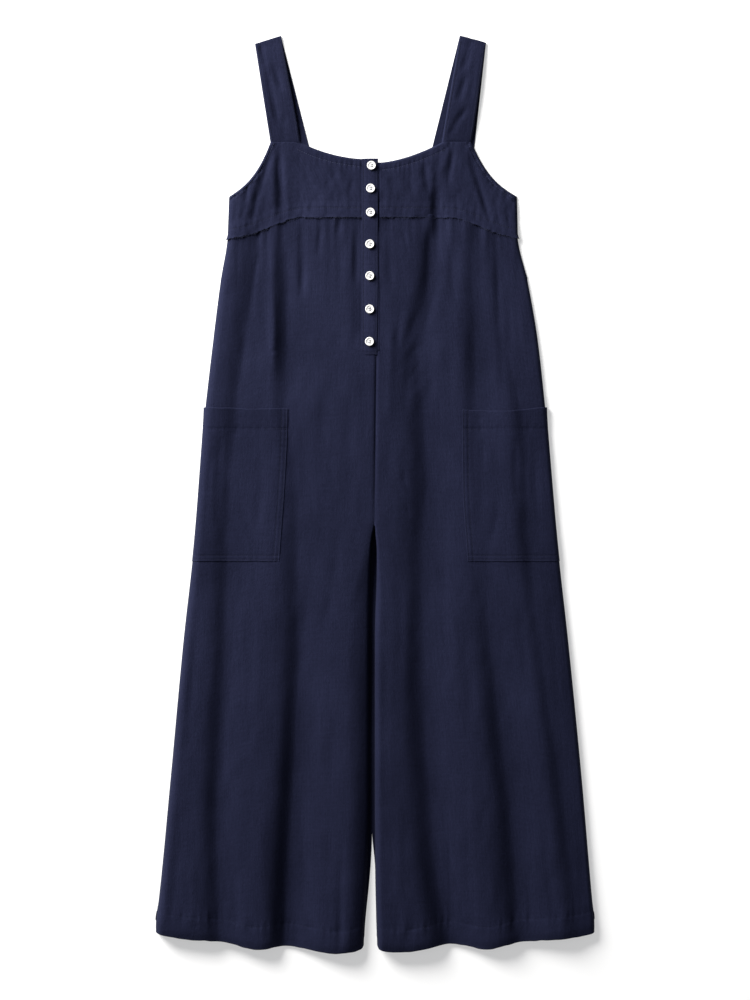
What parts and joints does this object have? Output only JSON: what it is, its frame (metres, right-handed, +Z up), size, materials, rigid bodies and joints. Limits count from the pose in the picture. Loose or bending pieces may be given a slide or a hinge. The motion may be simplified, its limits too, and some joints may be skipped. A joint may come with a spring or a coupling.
{
  "type": "sleeveless wide-leg jumpsuit",
  "caption": "Strappy wide-leg jumpsuit in dark blue cloth, laid flat, with a button front, raw-edged yoke and patch pockets.",
  "frame": {"origin": "middle of the footprint, on the surface that the garment lies on", "axes": "+Z up out of the surface and out of the garment's front, +Y towards the shoulders, +X towards the wearer's left"},
  "size_m": [0.6364, 1.3274, 0.0226],
  "materials": {
    "cloth": "navy cotton and linen twill, matt, lightly slubbed",
    "buttons": "white four-hole shirt buttons, soft gloss"
  },
  "bodies": {
    "root": {"back_leg_right": "cloth", "front_leg_right": "cloth", "front_yoke_right": "cloth", "pocket_right": "cloth", "strap_right": "cloth", "back_leg_left": "cloth", "front_leg_left": "cloth", "front_yoke_left": "cloth", "pocket_left": "cloth", "strap_left": "cloth", "back_yoke": "cloth", "band_under": "cloth", "band_over": "cloth", "button_1": "buttons", "button_2": "buttons", "button_3": "buttons", "button_4": "buttons", "button_5": "buttons", "button_6": "buttons", "button_7": "buttons"}
  },
  "joints": []
}
